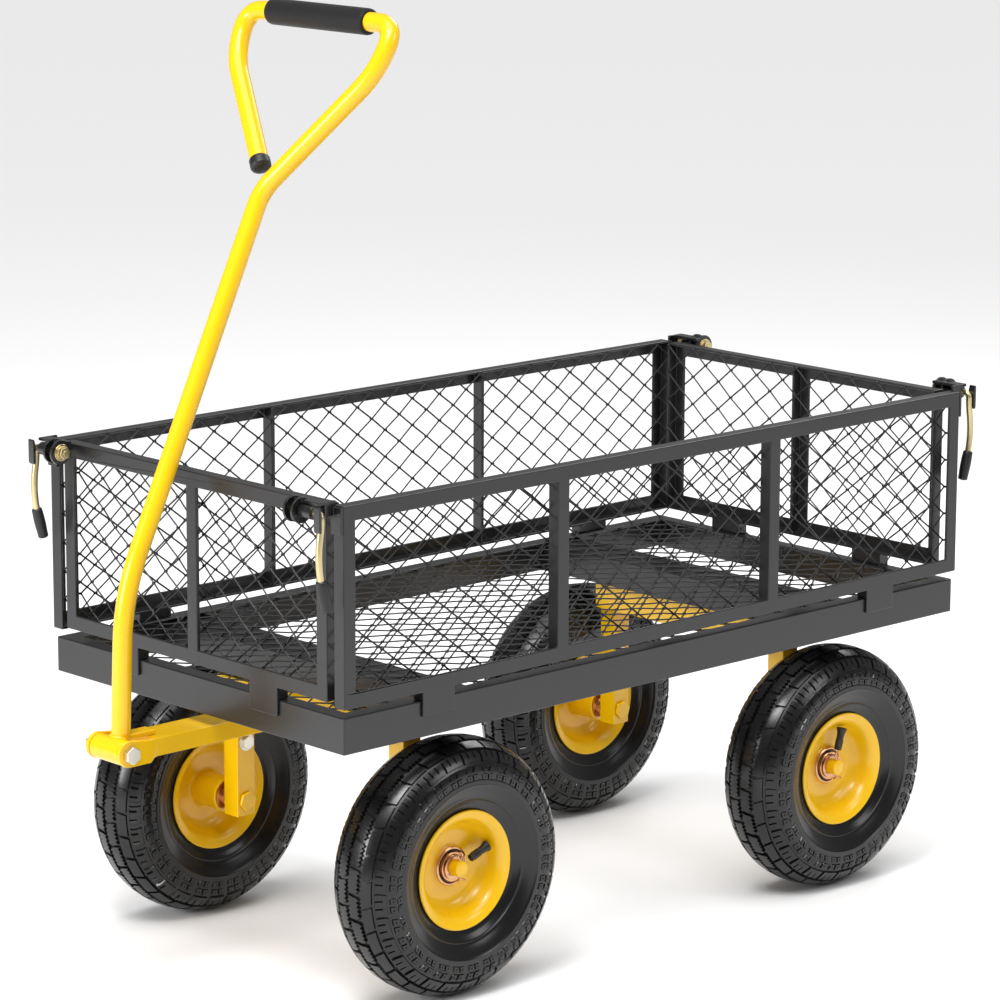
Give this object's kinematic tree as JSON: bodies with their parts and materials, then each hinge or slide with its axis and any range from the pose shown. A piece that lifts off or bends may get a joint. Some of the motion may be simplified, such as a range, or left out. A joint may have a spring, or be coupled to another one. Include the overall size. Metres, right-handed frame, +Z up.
{
  "type": "garden cart",
  "caption": "Steel mesh garden cart with four lift-off side panels, pneumatic tyres, a steered front axle and a folding pull handle with a foam grip.",
  "frame": {"origin": "on the ground, at the middle of the outline across and along the cart", "axes": "+Z up, +Y towards the rear of the cart, the pull handle at -Y, X across the cart along the axles"},
  "size_m": [0.4556, 1.0154, 0.9529],
  "materials": {
    "tyre": "matte moulded rubber",
    "yellow_paint": "gloss powder coat on steel",
    "bush_steel": "copper-toned zinc plate",
    "black_rubber": "matte",
    "grip_foam": "matte foam",
    "grey_paint": "satin powder coat on steel",
    "grey_mesh": "satin powder coat on steel wire mesh",
    "black_paint": "satin black coat on steel",
    "yellow_zinc": "yellow-passivated zinc plate"
  },
  "bodies": {
    "chassis": {"deck_rim": "grey_paint", "deck_floor": "grey_mesh", "cross_member_front": "grey_paint", "cross_member_rear": "grey_paint", "turntable_plate": "yellow_paint", "kingpin": "yellow_zinc", "kingpin_nut": "yellow_zinc", "axle_frame_rear": "yellow_paint", "axle_rear_left": "yellow_paint", "axle_rear_right": "yellow_paint"},
    "steering": {"axle_frame_front": "yellow_paint", "tongue": "yellow_paint", "axle_front_left": "yellow_paint", "axle_front_right": "yellow_paint", "pivot_bolt": "yellow_zinc", "pivot_nut": "yellow_zinc"},
    "handle": {"handle_tube": "yellow_paint", "handle_grip": "grip_foam", "handle_end_cap": "black_rubber"},
    "wheel_front_left": {"tyre_front_left": "tyre", "rim_front_left": "yellow_paint", "hub_bearing_front_left": "bush_steel", "valve_front_left": "black_rubber"},
    "wheel_front_right": {"tyre_front_right": "tyre", "rim_front_right": "yellow_paint", "hub_bearing_front_right": "bush_steel", "valve_front_right": "black_rubber"},
    "wheel_rear_left": {"tyre_rear_left": "tyre", "rim_rear_left": "yellow_paint", "hub_bearing_rear_left": "bush_steel", "valve_rear_left": "black_rubber"},
    "wheel_rear_right": {"tyre_rear_right": "tyre", "rim_rear_right": "yellow_paint", "hub_bearing_rear_right": "bush_steel", "valve_rear_right": "black_rubber"},
    "panel_left": {"panel_frame_left": "grey_paint", "panel_mesh_left": "grey_mesh", "latch_bracket_front_left": "black_paint", "latch_bolt_front_left": "yellow_zinc", "latch_bracket_rear_left": "black_paint", "latch_bolt_rear_left": "yellow_zinc"},
    "panel_right": {"panel_frame_right": "grey_paint", "panel_mesh_right": "grey_mesh", "latch_bracket_front_right": "black_paint", "latch_bolt_front_right": "yellow_zinc", "latch_bracket_rear_right": "black_paint", "latch_bolt_rear_right": "yellow_zinc"},
    "panel_front": {"panel_frame_front": "grey_paint", "panel_mesh_front": "grey_mesh"},
    "panel_rear": {"panel_frame_rear": "grey_paint", "panel_mesh_rear": "grey_mesh"},
    "lever_front_left": {"latch_lever_front_left": "yellow_zinc", "latch_grip_front_left": "black_rubber"},
    "lever_front_right": {"latch_lever_front_right": "yellow_zinc", "latch_grip_front_right": "black_rubber"},
    "lever_rear_left": {"latch_lever_rear_left": "yellow_zinc", "latch_grip_rear_left": "black_rubber"},
    "lever_rear_right": {"latch_lever_rear_right": "yellow_zinc", "latch_grip_rear_right": "black_rubber"}
  },
  "joints": [
    {"name": "steer", "type": "hinge", "parent": "chassis", "child": "steering", "pos_m": [0, -0.23327, 0.264], "axis": [0, 0, 1], "range_deg": [-25, 25]},
    {"name": "handle_swing", "type": "hinge", "parent": "steering", "child": "handle", "pos_m": [0, -0.49477, 0.2555], "axis": [1, 0, 0], "range_deg": [0, 125]},
    {"name": "spin_front_left", "type": "hinge", "parent": "steering", "child": "wheel_front_left", "pos_m": [-0.18775, -0.23327, 0.129], "axis": [1, 0, 0], "continuous": true},
    {"name": "spin_front_right", "type": "hinge", "parent": "steering", "child": "wheel_front_right", "pos_m": [0.18775, -0.23327, 0.129], "axis": [1, 0, 0], "continuous": true},
    {"name": "spin_rear_left", "type": "hinge", "parent": "chassis", "child": "wheel_rear_left", "pos_m": [-0.18775, 0.30793, 0.129], "axis": [1, 0, 0], "continuous": true},
    {"name": "spin_rear_right", "type": "hinge", "parent": "chassis", "child": "wheel_rear_right", "pos_m": [0.18775, 0.30793, 0.129], "axis": [1, 0, 0], "continuous": true},
    {"name": "lift_panel_left", "type": "slide", "parent": "chassis", "child": "panel_left", "axis": [0, 0, 1], "range_m": [0, 0.06]},
    {"name": "lift_panel_right", "type": "slide", "parent": "chassis", "child": "panel_right", "axis": [0, 0, 1], "range_m": [0, 0.06]},
    {"name": "lift_panel_front", "type": "slide", "parent": "chassis", "child": "panel_front", "axis": [0, 0, 1], "range_m": [0, 0.04]},
    {"name": "lift_panel_rear", "type": "slide", "parent": "chassis", "child": "panel_rear", "axis": [0, 0, 1], "range_m": [0, 0.06]},
    {"name": "latch_front_left", "type": "hinge", "parent": "panel_left", "child": "lever_front_left", "pos_m": [-0.203, -0.41677, 0.509], "axis": [-1, 0, 0], "range_deg": [0, 135]},
    {"name": "latch_front_right", "type": "hinge", "parent": "panel_right", "child": "lever_front_right", "pos_m": [0.203, -0.41677, 0.509], "axis": [-1, 0, 0], "range_deg": [0, 135]},
    {"name": "latch_rear_left", "type": "hinge", "parent": "panel_left", "child": "lever_rear_left", "pos_m": [-0.203, 0.49523, 0.509], "axis": [1, 0, 0], "range_deg": [0, 135]},
    {"name": "latch_rear_right", "type": "hinge", "parent": "panel_right", "child": "lever_rear_right", "pos_m": [0.203, 0.49523, 0.509], "axis": [1, 0, 0], "range_deg": [0, 135]}
  ]
}
